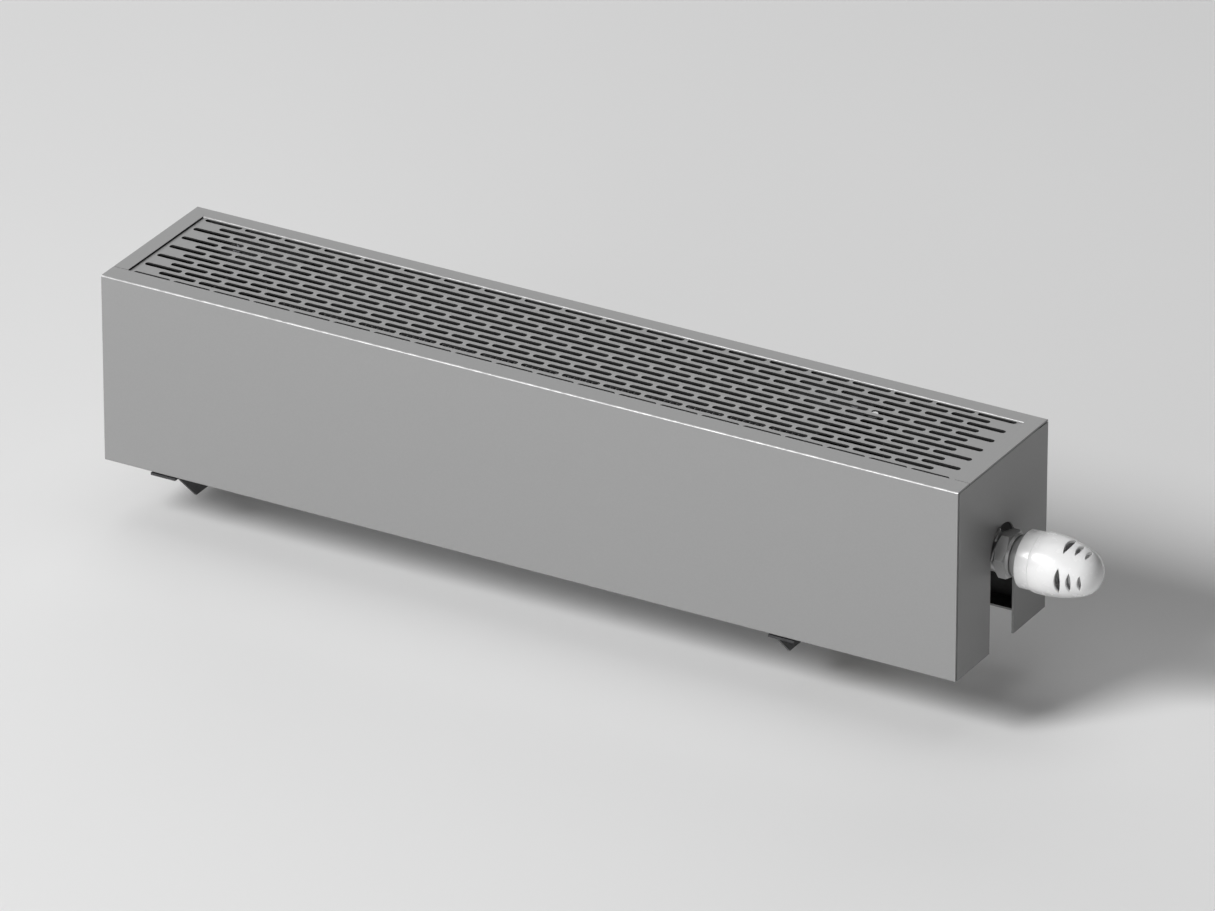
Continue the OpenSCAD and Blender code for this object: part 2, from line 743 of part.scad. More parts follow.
cap_wall = 1.2;
cap_gap = 4;
module stem_cap() color("white") at_ball() to_front() translate([0, 0, boss_l - cap_gap]) difference() {
    l = stem_root + stem_l - boss_l + 2 * cap_gap;
    cylinder(r = boss_r + fit + cap_wall, h = l);
    translate([0, 0, -over]) cylinder(r = boss_r + fit, h = l - cap_wall + over);
}

module return_nipple() color("goldenrod")
    along_x(x_port, y_axis, z_low) ring(return_pipe_r, body_port_r, x_return - pipe_stop - x_port);

// Thermostat head

x_nut = x_right + nut_out;
nut_lip = 1.5;
nut_r = neck_d / 2 + fit;
socket_r = 13.5;
socket_ring_r = 15;
socket_neck = 0.9;
socket_ring_l = 6.4;
sleeve_r = 10;
guide_r = 7;
x_lip = x_nut + nut_l - nut_lip;
x_ring = x_nut + nut_l + socket_neck;
x_collar = x_ring + socket_ring_l;
collar_r = collar_d / 2;
nut_turn = 7.5;
nut_round_l = 2.5;
wheel_gap = 0.5;
groove_r = 20.8;
x_wheel = x_collar + collar_l + wheel_gap;
boss_wheel_r = 16;
boss_wheel_l = 13;
edge_r = 1;

module union_nut() color("gray") difference() {
    union() {
        along_x(x_nut) rotate([0, 0, 30 - nut_turn]) hexagon(nut_af, nut_l - nut_round_l);
        along_x(x_nut) cylinder(d = nut_af - 4 * fit, h = nut_l);
    }
    along_x(x_nut - over) cylinder(r = nut_r, h = x_lip - x_nut + over);
    along_x(x_nut) cylinder(r = socket_r + 2 * fit, h = nut_l + over);
}

module head_socket() color("silver") difference() {
    union() {
        along_x(x_neck) cylinder(r = nut_r - 2 * fit, h = x_lip - x_neck);
        along_x(x_neck) cylinder(r = socket_r, h = x_collar - x_neck);
        along_x(x_ring) cylinder(r = socket_ring_r, h = socket_ring_l);
    }
    along_x(x_neck - over) cylinder(r = sleeve_r + fit, h = x_collar - x_neck + 2 * over);
}

module head_base() color("white") difference() {
    union() {
        along_x(x_collar) rotate_extrude() {
            translate([0, edge_r]) square([collar_r, collar_l - 2 * edge_r]);
            square([collar_r - edge_r, collar_l]);
            for (z = [edge_r, collar_l - edge_r]) translate([collar_r - edge_r, z]) circle(edge_r);
        }
        along_x(x_ring) cylinder(r = sleeve_r, h = socket_ring_l + over);
        along_x(x_collar) cylinder(r = groove_r, h = collar_l + wheel_gap - run);
        along_x(x_collar) cylinder(r = boss_wheel_r, h = collar_l + boss_wheel_l);
    }
    along_x(x_ring - over) cylinder(r = guide_r, h = x_wheel - x_ring + boss_wheel_l + 2 * over);
}

// Half section of the handwheel, thinned by t: a long arc for the side runs into a short one for the tip
wheel_peak = 5.4;
wheel_r = wheel_d / 2;
z_tip = wheel_l - tip_r;
side_r = (pow(z_tip - wheel_peak, 2) + pow(wheel_r, 2) - pow(tip_r, 2)) / (wheel_d - 2 * tip_r);
module wheel_section(t) {
    r = side_r - t;
    intersection() {
        translate([wheel_r - side_r, wheel_peak]) circle(r);
        square([wheel_r, wheel_peak + (z_tip - wheel_peak) * r / (side_r - tip_r)]);
    }
    translate([0, z_tip]) intersection() {
        circle(tip_r - t);
        translate([0, -tip_r]) square([tip_r, 2 * tip_r]);
    }
}
function side_radius(z) = wheel_r - side_r + sqrt(pow(side_r, 2) - pow(z - wheel_peak, 2));

// Vents: four sets of three lens-shaped slots, placed and sized by their share of the handwheel's length
vent_sets = 4;
vent_turn = 4;
vent_at_shares = [0.477, 0.641, 0.79];
vent_w_shares = [0.094, 0.077, 0.058];
vent_l_shares = [0.427, 0.311, 0.249];
wheel_web_at = 6;
wheel_web_t = 2;
hub_l = 10;

module lens(l, w) {
    r = (pow(l, 2) + pow(w, 2)) / (4 * w);
    intersection_for (side = [-1, 1]) translate([0, side * (r - w / 2)]) circle(r);
}

module wheel_vents() for (k = [0 : vent_sets - 1]) rotate([0, 0, 360 * k / vent_sets])
    for (i = [0 : len(vent_at_shares) - 1]) translate([0, 0, vent_at_shares[i] * wheel_l])
        rotate([90, 0, 90]) linear_extrude(wheel_r) lens(vent_l_shares[i] * wheel_l, vent_w_shares[i] * wheel_l);

module handwheel() color("whitesmoke") along_x(x_wheel) rotate([0, 0, 90 + vent_turn]) difference() {
    union() {
        difference() {
            rotate_extrude() wheel_section(0);
            rotate_extrude() wheel_section(wheel_wall);
            translate([0, 0, -over]) cylinder(r = side_radius(0) - wheel_wall, h = over + fit);
        }
        translate([0, 0, wheel_web_at]) cylinder(r = side_radius(wheel_web_at) - wheel_wall / 2, h = wheel_web_t);
        translate([0, 0, wheel_web_at - hub_l / 2]) cylinder(r = boss_wheel_r + wheel_web_t, h = hub_l);
    }
    translate([0, 0, -over]) cylinder(r = boss_wheel_r + run, h = wheel_web_at + hub_l + over);
    wheel_vents();
}

sensor_r = 12;
sensor_l = 22;
x_boss_end = x_collar + collar_l + boss_wheel_l;
x_sensor = x_boss_end + spindle_travel;
sensor_grooves = 4;
groove_w = 1.5;
module sensor() color("goldenrod") {
    difference() {
        along_x(x_sensor) cylinder(r = sensor_r, h = sensor_l);
        for (i = [1 : sensor_grooves])
            along_x(x_sensor + i * sensor_l / (sensor_grooves + 2)) ring(sensor_r + over, sensor_r - groove_w, groove_w);
    }
    along_x(x_collar) cylinder(r = guide_r - run, h = x_sensor - x_collar);
}
pin_r = 2.5;
module push_pin() color("silver") along_x(x_tip) cylinder(r = pin_r, h = x_collar - x_tip);

casing_shell();
front_panel();
grille();
front_ledge();
rear_ledge();
corner_angles();
casing_hangers();
levelling_screws();
lock_nuts();
left_bracket();
right_bracket();
rest_pads();
tube_saddles();
fin_pack();
left_end_plate();
right_end_plate();
core_tubes();
return_bends();
flow_header();
return_header();
header_caps();
drain_plug();
vent_body();
vent_screw();
flow_nipple();
nipple_nut();
valve_body();
valve_insert();
gland_nut();
gland_ring();
spindle();
disc_washer();
return_spring();
flow_tail();
tail_nut();
return_nipple();
return_valve_body();
return_ball();
ball_stem();
ball_seats();
stem_seal();
return_plug();
stem_cap();
union_nut();
head_socket();
head_base();
handwheel();
sensor();
push_pin();
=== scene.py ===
"""Dresses a wall convector: lacquered casing with its grille, wall brackets, finned core, valves and
thermostat head. Lengths are in metres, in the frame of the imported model."""

import json
from math import radians

import bmesh
import bpy
from bpy.props import FloatProperty, FloatVectorProperty, PointerProperty
from bpy.types import Operator, Panel, PropertyGroup
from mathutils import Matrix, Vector


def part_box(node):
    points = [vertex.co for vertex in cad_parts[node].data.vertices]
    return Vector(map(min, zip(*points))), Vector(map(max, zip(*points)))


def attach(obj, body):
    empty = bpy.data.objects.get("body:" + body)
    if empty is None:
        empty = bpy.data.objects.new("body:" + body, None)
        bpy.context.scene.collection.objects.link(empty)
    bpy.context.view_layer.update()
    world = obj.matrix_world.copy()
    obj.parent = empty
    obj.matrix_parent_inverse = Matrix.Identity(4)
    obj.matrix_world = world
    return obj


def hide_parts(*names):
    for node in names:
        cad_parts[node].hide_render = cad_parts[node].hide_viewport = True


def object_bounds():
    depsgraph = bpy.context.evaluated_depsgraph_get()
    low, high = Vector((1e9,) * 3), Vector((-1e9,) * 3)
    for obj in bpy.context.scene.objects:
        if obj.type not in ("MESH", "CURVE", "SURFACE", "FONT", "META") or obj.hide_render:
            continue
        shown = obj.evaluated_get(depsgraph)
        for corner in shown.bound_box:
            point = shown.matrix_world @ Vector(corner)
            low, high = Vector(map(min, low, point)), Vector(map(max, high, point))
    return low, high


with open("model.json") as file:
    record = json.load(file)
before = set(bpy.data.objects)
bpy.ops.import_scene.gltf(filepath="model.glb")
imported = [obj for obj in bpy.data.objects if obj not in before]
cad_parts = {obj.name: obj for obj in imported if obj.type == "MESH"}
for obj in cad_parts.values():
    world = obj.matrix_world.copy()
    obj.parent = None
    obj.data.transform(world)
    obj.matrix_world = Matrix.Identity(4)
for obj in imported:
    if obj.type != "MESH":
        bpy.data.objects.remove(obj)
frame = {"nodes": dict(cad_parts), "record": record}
cad_box = [list(corner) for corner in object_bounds()]

bl_info = {
    "name": "Wall Convector",
    "version": (1, 0, 0),
    "blender": (4, 5, 0),
    "location": "3D View > Sidebar > Convector",
    "description": "Dresses a wall convector in lacquer, metals and plastics, and sets its studio",
    "category": "Object",
}


WELD = 0.000002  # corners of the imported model's loose triangles that are closer than this are one
SAME_PLANE = radians(0.3)  # faces that bend less than this are one face
SHARP_BEND = radians(28)  # edges that bend more than this are rounded
CREASE = radians(35)  # edges that bend more than this stay a crease in the shading
FACING = 0.9  # a face looks along an axis if this much of its normal does
LONG_RIM = 0.1  # a casing rim shorter than this stays sharp
SHEET_AREA = 0.00005  # a plain sheet has at least this area
SHEET_WIDTH = 0.0008  # and this mean width; a facet of a curve is narrower
GLOW_DEPTH = 0.005  # how far light spreads in the white plastic


def body_of(node):
    """Name of the body that carries a node."""
    for body, nodes in frame["record"]["behaviour"]["bodies"].items():
        if node in nodes:
            return body
    raise RuntimeError(f"no body carries {node}")


def colour(name, description, default):
    """A colour that the user may change."""
    return FloatVectorProperty(
        name=name, description=description, subtype="COLOR", size=3, min=0, max=1, default=default
    )


def share(name, description, default):
    """A share from 0 to 1 that the user may change."""
    return FloatProperty(
        name=name, description=description, subtype="FACTOR", min=0, max=1, default=default
    )


def length(name, description, default):
    """A length in metres that the user may change."""
    return FloatProperty(
        name=name, description=description, unit="LENGTH", min=0, precision=5, default=default
    )


def power(name, description, default):
    """A lamp's power in watts that the user may change."""
    return FloatProperty(name=name, description=description, unit="POWER", min=0, default=default)


class CasingFinish(PropertyGroup):
    lacquer: colour("Lacquer", "Colour of the casing's satin lacquer", (0.275, 0.275, 0.275))
    # inside: near-black painted shade for the casing's inner faces and inward cuts
    inside: colour("Inside", "Colour of the dark coat inside the casing", (0.02, 0.02, 0.02))
    roughness: share("Roughness", "Roughness of the lacquer", 0.33)
    # depth in from the outer planes at which that painted shade begins
    painted_shade_depth: length("Coat depth", "Depth at which the dark coat inside the casing begins", 0.0013)
    flake: length("Flake", "Size of the lacquer's grain", 0.0012)
    sheet_edge: length("Sheet edge", "Rounding of the cut edges that look to the front", 0.0011)


class CoreFinish(PropertyGroup):
    bracket: colour("Brackets", "Colour of the brackets' powder coat", (0.035, 0.035, 0.037))
    steel: colour("Steel", "Colour of the inner steel parts", (0.34, 0.34, 0.35))
    aluminium: colour("Fins", "Colour of the aluminium fins", (0.62, 0.62, 0.63))
    copper: colour("Tubes", "Colour of the copper tubes", (0.62, 0.33, 0.21))
    bracket_edge: length("Bracket edge", "Rounding of the brackets' edges", 0.0003)


class ValveFinish(PropertyGroup):
    nickel: colour("Nickel", "Colour of the nickel-plated valves and nuts", (0.55, 0.55, 0.55))
    brass: colour("Brass", "Colour of the bare brass parts", (0.56, 0.42, 0.20))
    nut_edge: length("Nut edge", "Rounding of the nuts' edges", 0.0003)


class HeadFinish(PropertyGroup):
    plastic: colour("Plastic", "Colour of the collar and the handwheel", (0.84, 0.84, 0.84))
    gloss: share("Roughness", "Roughness of the white plastic", 0.25)
    vent_edge: length("Vent edge", "Rounding of the vents' rims", 0.0001)


class Studio(PropertyGroup):
    floor: colour("Floor", "Colour of the floor", (0.80, 0.80, 0.80))
    drop: length("Floor drop", "Distance from the lowest bracket foot down to the floor", 0.024)
    key: power("Key light", "Power of the key light", 650)
    front: power("Front light", "Power of the wide light in front of the casing", 150)
    back: power("Back light", "Power of the wide light behind the casing", 205)
    top: power("Top light", "Power of the wide light over the casing", 84)
    ambient: share("Ambient", "Strength of the surrounding light", 0.018)


def finish(name, base, roughness, metallic=0.0, coat=0.0):
    """A new material with its uniform values on the shader's own sockets."""
    material = bpy.data.materials.new(name)
    material.use_nodes = True
    shader = material.node_tree.nodes["Principled BSDF"]
    shader.inputs["Base Color"].default_value = (*base, 1)
    shader.inputs["Roughness"].default_value = roughness
    shader.inputs["Metallic"].default_value = metallic
    shader.inputs["Coat Weight"].default_value = coat
    shader.inputs["Coat Roughness"].default_value = 0.12
    return material


def pattern(material, size, stretch=(1, 1, 1), detail=2.0, kind="ShaderNodeTexNoise"):
    """A pattern whose features are about that size, on the piece's own coordinates."""
    tree = material.node_tree
    place = tree.nodes.new("ShaderNodeTexCoord")
    turn = tree.nodes.new("ShaderNodeMapping")
    turn.inputs["Scale"].default_value = stretch
    texture = tree.nodes.new(kind)
    texture.inputs["Scale"].default_value = 1 / size
    if "Detail" in texture.inputs:
        texture.inputs["Detail"].default_value = detail
    tree.links.new(place.outputs["Object"], turn.inputs["Vector"])
    tree.links.new(turn.outputs["Vector"], texture.inputs["Vector"])
    return texture.outputs["Distance" if kind == "ShaderNodeTexVoronoi" else 0]


def shade_between(material, value, dark, light, low=0.35, high=0.65):
    """Base colour that runs from dark to light with a pattern."""
    tree = material.node_tree
    ramp = tree.nodes.new("ShaderNodeValToRGB")
    ramp.color_ramp.elements[0].position = low
    ramp.color_ramp.elements[0].color = (*dark, 1)
    ramp.color_ramp.elements[1].position = high
    ramp.color_ramp.elements[1].color = (*light, 1)
    tree.links.new(value, ramp.inputs["Fac"])
    tree.links.new(ramp.outputs["Color"], tree.nodes["Principled BSDF"].inputs["Base Color"])


def rough_between(material, value, low, high):
    """Roughness that runs from low to high with a pattern."""
    tree = material.node_tree
    spread = tree.nodes.new("ShaderNodeMapRange")
    spread.inputs["From Min"].default_value = 0.3
    spread.inputs["From Max"].default_value = 0.7
    spread.inputs["To Min"].default_value = low
    spread.inputs["To Max"].default_value = high
    tree.links.new(value, spread.inputs["Value"])
    tree.links.new(spread.outputs["Result"], tree.nodes["Principled BSDF"].inputs["Roughness"])


def raise_surface(material, value, depth, strength=0.5):
    """Fine relief from a pattern."""
    tree = material.node_tree
    bump = tree.nodes.new("ShaderNodeBump")
    bump.inputs["Distance"].default_value = depth
    bump.inputs["Strength"].default_value = strength
    tree.links.new(value, bump.inputs["Height"])
    tree.links.new(bump.outputs["Normal"], tree.nodes["Principled BSDF"].inputs["Normal"])


def tint(base, factor):
    """A colour made darker or lighter."""
    return tuple(min(1.0, part * factor) for part in base)


def wear_and_highlight_edges(material, lighter, smoother):
    """Lightens and smooths, unevenly, the faces that the mesh marks: edge wear on rounded edges, and
    on the casing a painted highlight on the bends and rims that look up and to the front.
    """
    tree = material.node_tree
    shader = tree.nodes["Principled BSDF"]
    # The mark is edge wear on rounded edges; on the casing it is a painted highlight on faces that
    # look up and to the front.
    mark = tree.nodes.new("ShaderNodeAttribute")
    mark.attribute_name = "edge"
    uneven = tree.nodes.new("ShaderNodeMapRange")
    uneven.inputs["From Min"].default_value = 0.35
    uneven.inputs["From Max"].default_value = 0.65
    uneven.inputs["To Min"].default_value = 0.3
    tree.links.new(pattern(material, 0.006), uneven.inputs["Value"])
    amount = tree.nodes.new("ShaderNodeMath")
    amount.operation = "MULTIPLY"
    tree.links.new(mark.outputs["Fac"], amount.inputs[0])
    tree.links.new(uneven.outputs["Result"], amount.inputs[1])
    for socket, factor in (("Base Color", lighter), ("Roughness", smoother)):
        plain = shader.inputs[socket].links[0].from_socket
        scaled = tree.nodes.new("ShaderNodeVectorMath")
        scaled.operation = "MULTIPLY_ADD"
        gain = tree.nodes.new("ShaderNodeMath")
        gain.operation = "MULTIPLY"
        gain.inputs[1].default_value = factor - 1
        tree.links.new(amount.outputs["Value"], gain.inputs[0])
        tree.links.new(plain, scaled.inputs[0])
        tree.links.new(gain.outputs["Value"], scaled.inputs[1])
        tree.links.new(plain, scaled.inputs[2])
        tree.links.new(scaled.outputs["Vector"], shader.inputs[socket])


def satin_lacquer(props, name="satin_lacquer"):
    """Smooth grey lacquer with a fine flake, and a painted highlight on the bends and rims that look
    up and to the front.
    """
    material = finish(name, props.lacquer, props.roughness, metallic=0.05)
    grain = pattern(material, props.flake, detail=1)
    shade_between(material, grain, tint(props.lacquer, 0.99), tint(props.lacquer, 1.01))
    spots = pattern(material, props.flake * 2)
    rough_between(material, spots, props.roughness - 0.02, props.roughness + 0.02)
    raise_surface(material, pattern(material, props.flake * 2), depth=0.000001, strength=0.1)
    # painted highlight: marked casing faces that look up and to the front get up to 1.9 times lighter
    # colour and less roughness
    wear_and_highlight_edges(material, lighter=1.9, smoother=0.8)
    return material


def painted_inner_shade(props):
    """Painted shade: a matt near-black material for the casing's inner faces and inward cuts, where
    shade falls.
    """
    material = finish("casing_painted_inner_shade", props.inside, 0.7)
    shade_between(material, pattern(material, 0.01), tint(props.inside, 0.8), tint(props.inside, 1.3))
    rough_between(material, pattern(material, 0.004), 0.62, 0.78)
    raise_surface(material, pattern(material, 0.001), 0.00002)
    return material


def powder_coat(props):
    """Dark powder coat with its orange-peel grain, worn lighter along the edges."""
    material = finish("bracket_powder_coat", props.bracket, 0.5)
    cloud = pattern(material, 0.004)
    shade_between(material, cloud, tint(props.bracket, 0.85), tint(props.bracket, 1.2))
    rough_between(material, pattern(material, 0.012), 0.42, 0.58)
    raise_surface(material, pattern(material, 0.0007), 0.00004)
    wear_and_highlight_edges(material, lighter=1.8, smoother=0.9)
    return material


def metal(name, base, roughness, grain, stretch=(1, 1, 1), stain=0.85, stain_size=0.015, shine=1.0):
    """Bare metal with a grain that stretch draws out, and a stain that darkens it to that share."""
    material = finish(name, base, roughness, metallic=shine)
    patches = pattern(material, stain_size, detail=4)
    shade_between(material, patches, tint(base, stain), tint(base, 1.05))
    rough_between(material, pattern(material, grain, stretch), roughness - 0.07, roughness + 0.07)
    raise_surface(material, pattern(material, grain, stretch), depth=0.000006, strength=0.3)
    wear_and_highlight_edges(material, lighter=1.15, smoother=0.8)
    return material


def moulded_plastic(name, base, roughness, coat=0.0, glow=0.0):
    """Plastic with a faint grain; glow is the share of the light that spreads inside it."""
    material = finish(name, base, roughness, coat=coat)
    shader = material.node_tree.nodes["Principled BSDF"]
    shader.inputs["Subsurface Weight"].default_value = glow
    shader.inputs["Subsurface Radius"].default_value = (1, 1, 1)
    shader.inputs["Subsurface Scale"].default_value = GLOW_DEPTH
    shade_between(material, pattern(material, 0.02), tint(base, 0.985), tint(base, 1.01))
    rough_between(material, pattern(material, 0.006), roughness - 0.03, roughness + 0.04)
    raise_surface(material, pattern(material, 0.0009), depth=0.000004, strength=0.25)
    return material


def soft_rubber():
    """Matt black rubber of the pads and seals."""
    material = finish("black_rubber", (0.02, 0.02, 0.02), 0.7)
    shade_between(material, pattern(material, 0.003), (0.015, 0.015, 0.015), (0.03, 0.03, 0.03))
    rough_between(material, pattern(material, 0.002), 0.6, 0.8)
    raise_surface(material, pattern(material, 0.0006), 0.00003)
    return material


def dress(material, *nodes):
    """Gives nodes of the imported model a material."""
    for node in nodes:
        piece = frame["nodes"][node]
        if not piece.material_slots:
            piece.data.materials.append(material)
        for slot in piece.material_slots:
            slot.material = material


def casing_box():
    """Lowest and highest place of the casing along each axis."""
    lowest, highest = zip(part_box("casing_shell"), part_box("front_panel"))
    return list(zip(map(min, *lowest), map(max, *highest)))


def front_rim(line, edge):
    """Whether an edge is the long top rim of a cut that looks to the front."""
    top = casing_box()[2][1]
    level = all(top - end.co.z < edge / 10 for end in line.verts)
    looks_front = any(face.normal.y < -FACING for face in line.link_faces)
    return level and looks_front and line.calc_length() > LONG_RIM


def is_flat(face):
    """Whether a face is broad enough to be a plain sheet and no facet of a curve."""
    longest = max(line.calc_length() for line in face.edges)
    return face.calc_area() > max(SHEET_AREA, SHEET_WIDTH * longest)


def cut_at(shape, x):
    """Cuts a shape's faces along a plane across the wall."""
    everything = [*shape.verts, *shape.edges, *shape.faces]
    bmesh.ops.bisect_plane(
        shape, geom=everything, dist=WELD / 2, plane_co=(x, 0, 0), plane_no=(1, 0, 0)
    )


def sharp_lines(shape, edge, chosen):
    """The sharp edges with room for that rounding, or those of them that are chosen."""
    sharp = []
    for line in shape.edges:
        if line.is_manifold and line.calc_face_angle(0) > SHARP_BEND and line.calc_length() > edge:
            sharp.append(line)
    if chosen:
        sharp = [line for line in sharp if chosen(line, edge)]
        for x in {end.co.x for line in sharp for end in line.verts}:
            cut_at(shape, x)
    return sharp


def round_off(shape, edge, chosen):
    """Rounds a shape's sharp edges and marks the rounded faces for edge wear; on chosen rims it marks
    instead every face that looks up and to the front, for a painted highlight.
    """
    sharp = sharp_lines(shape, edge, chosen)
    for face in shape.faces:
        face.smooth = not is_flat(face)
    marks = shape.faces.layers.float.new("edge")
    if sharp:
        bent = bmesh.ops.bevel(
            shape,
            geom=sharp,
            offset=edge,
            offset_type="OFFSET",
            affect="EDGES",
            segments=4 if chosen else 3,
            profile=0.5,
            material=-1,
            clamp_overlap=not chosen,
        )
        for face in bent["faces"]:
            face.smooth = not chosen
            face[marks] = 1
    # painted highlight: on the chosen rims the mark goes to the bends and rounded strips that look up
    # and to the front, where the key light glints
    if chosen:
        shape.normal_update()
        for face in shape.faces:
            face[marks] = face.normal.y < -0.35 and face.normal.z > 0.35
    many_sided = [face for face in shape.faces if face.smooth and len(face.verts) > 4]
    bmesh.ops.triangulate(shape, faces=many_sided)


def rounded(node, material, edge=0, chosen=None):
    """A piece with the node's own shape, whose edges are rounded and whose curves shade smoothly."""
    shape = bmesh.new()
    shape.from_mesh(frame["nodes"][node].data)
    bmesh.ops.remove_doubles(shape, verts=shape.verts, dist=WELD)
    if edge:
        bmesh.ops.dissolve_limit(
            shape, angle_limit=SAME_PLANE, verts=shape.verts, edges=shape.edges, delimit={"NORMAL"}
        )
    bmesh.ops.recalc_face_normals(shape, faces=shape.faces)
    if edge:
        round_off(shape, edge, chosen)
    else:
        for face in shape.faces:
            face.smooth = False
    mesh = bpy.data.meshes.new(f"{node}_shape")
    shape.to_mesh(mesh)
    shape.free()
    if "custom_normal" in mesh.attributes:
        mesh.attributes.remove(mesh.attributes["custom_normal"])
    mesh.set_sharp_from_angle(angle=CREASE)
    piece = bpy.data.objects.new(f"{node}_finished", mesh)
    bpy.context.scene.collection.objects.link(piece)
    mesh.materials.append(material)
    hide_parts(node)
    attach(piece, body_of(node))
    return piece


def paint_shade_inside(piece, coat, depth):
    """Gives a casing piece's inner faces, and its cuts that look sideways or back, the near-black
    painted shade.
    """
    box = casing_box()
    (x_low, x_high), (_, y_high), _ = box
    piece.data.materials.append(coat)
    for face in piece.data.polygons:
        place = zip(face.center, box)
        sunk = all(low + depth <= middle <= high - depth for middle, (low, high) in place)
        left = face.normal.x < -FACING and face.center.x > x_low + depth
        right = face.normal.x > FACING and face.center.x < x_high - depth
        back = face.normal.y > FACING and face.center.y < y_high - depth
        # painted shade on faces that lie inside or look inward, where shade falls
        if sunk or left or right or back:
            face.material_index = 1


class CONVECTOR_OT_casing(Operator):
    """Lacquers the casing's shell and its front panel"""

    bl_idname = "convector.casing"
    bl_label = "Casing"

    def execute(self, context):
        props = context.scene.convector_casing
        lacquer = satin_lacquer(props)
        # inner holds the painted shade for the inner faces; the rounded rims carry the lacquer's
        # painted highlight
        inner = painted_inner_shade(props)
        for node in ("casing_shell", "front_panel"):
            piece = rounded(node, lacquer, props.sheet_edge, front_rim)
            paint_shade_inside(piece, inner, props.painted_shade_depth)
        return {"FINISHED"}


class CONVECTOR_OT_grille(Operator):
    """Lacquers the grille's face and gives its slot walls and underside the near-black painted shade
    """

    bl_idname = "convector.grille"
    bl_label = "Grille"

    def execute(self, context):
        props = context.scene.convector_casing
        piece = rounded("grille", satin_lacquer(props, "grille_lacquer"))
        piece.data.materials.append(bpy.data.materials["casing_painted_inner_shade"])
        # painted shade on every face that does not look up: the slot walls and the underside
        for face in piece.data.polygons:
            if face.normal.z < FACING:
                face.material_index = 1
        return {"FINISHED"}


class CONVECTOR_OT_casing_fittings(Operator):
    """Finishes the ledges, angles and levelling screws inside the casing"""

    bl_idname = "convector.casing_fittings"
    bl_label = "Casing fittings"

    def execute(self, context):
        steel = context.scene.convector_core.steel
        plain = metal("zinc_plated_sheet", tint(steel, 0.5), roughness=0.5, grain=0.0012, shine=0.6)
        dress(plain, "front_ledge", "rear_ledge", "corner_angles", "casing_hangers")
        bright = metal("bright_steel", tint(steel, 1.5), roughness=0.3, grain=0.0004)
        dress(bright, "levelling_screws", "lock_nuts")
        return {"FINISHED"}


class CONVECTOR_OT_brackets(Operator):
    """Powder-coats the brackets and finishes their pads and saddles"""

    bl_idname = "convector.brackets"
    bl_label = "Brackets"

    def execute(self, context):
        props = context.scene.convector_core
        coat = powder_coat(props)
        for node in ("left_bracket", "right_bracket"):
            rounded(node, coat, props.bracket_edge)
        dress(soft_rubber(), "rest_pads", "gland_ring", "disc_washer", "stem_seal")
        cream = moulded_plastic("saddle_plastic", (0.62, 0.60, 0.54), roughness=0.45)
        dress(cream, "tube_saddles")
        return {"FINISHED"}


class CONVECTOR_OT_fin_core(Operator):
    """Finishes the fins, their end plates and the tubes"""

    bl_idname = "convector.fin_core"
    bl_label = "Fin core"

    def execute(self, context):
        props = context.scene.convector_core
        fins = metal(
            "rolled_aluminium",
            props.aluminium,
            roughness=0.42,
            grain=0.0008,
            stretch=(1, 1, 0.05),
            shine=0.3,
        )
        dress(fins, "fin_pack")
        plates = metal("end_plate_steel", props.steel, roughness=0.4, grain=0.001)
        dress(plates, "left_end_plate", "right_end_plate")
        copper = metal(
            "drawn_copper",
            props.copper,
            roughness=0.3,
            grain=0.0006,
            stretch=(0.04, 1, 1),
            stain=0.6,
            stain_size=0.02,
        )
        dress(copper, "core_tubes", "return_bends")
        return {"FINISHED"}


class CONVECTOR_OT_headers(Operator):
    """Finishes the headers, their caps, the drain plug and the air vent"""

    bl_idname = "convector.headers"
    bl_label = "Headers"

    def execute(self, context):
        props = context.scene.convector_valves
        brass = metal(
            "turned_brass", props.brass, roughness=0.3, grain=0.0005, stretch=(1, 0.05, 1), stain=0.7
        )
        dress(brass, "flow_header", "return_header", "header_caps", "drain_plug")
        dress(brass, "flow_nipple", "return_nipple", "valve_insert")
        dress(metal("vent_nickel", props.nickel, roughness=0.3, grain=0.0004), "vent_body")
        dress(bpy.data.materials["bright_steel"], "vent_screw")
        return {"FINISHED"}


class CONVECTOR_OT_valves(Operator):
    """Finishes the thermostatic valve, the return valve and their connections"""

    bl_idname = "convector.valves"
    bl_label = "Valves"

    def execute(self, context):
        props = context.scene.convector_valves
        nickel = metal("nickel_plate", props.nickel, roughness=0.36, grain=0.0012, stretch=(0.1, 1, 1))
        rounded("valve_body", nickel, props.nut_edge)
        dress(nickel, "nipple_nut", "gland_nut", "flow_tail", "tail_nut")
        dress(nickel, "return_valve_body", "ball_stem", "return_plug")
        bright = bpy.data.materials["bright_steel"]
        dress(bright, "spindle", "return_spring", "return_ball")
        dress(moulded_plastic("seat_plastic", (0.75, 0.75, 0.73), roughness=0.4), "ball_seats")
        return {"FINISHED"}


class CONVECTOR_OT_union(Operator):
    """Makes the union nut and the metal socket of the thermostat head"""

    bl_idname = "convector.union"
    bl_label = "Union nut"

    def execute(self, context):
        props = context.scene.convector_valves
        plated = metal(
            "nut_nickel",
            tint(props.nickel, 0.8),
            roughness=0.45,
            grain=0.0015,
            stretch=(1, 0.2, 0.2),
            stain=0.93,
            shine=0.55,
        )
        for node in ("union_nut", "head_socket"):
            rounded(node, plated, props.nut_edge)
        return {"FINISHED"}


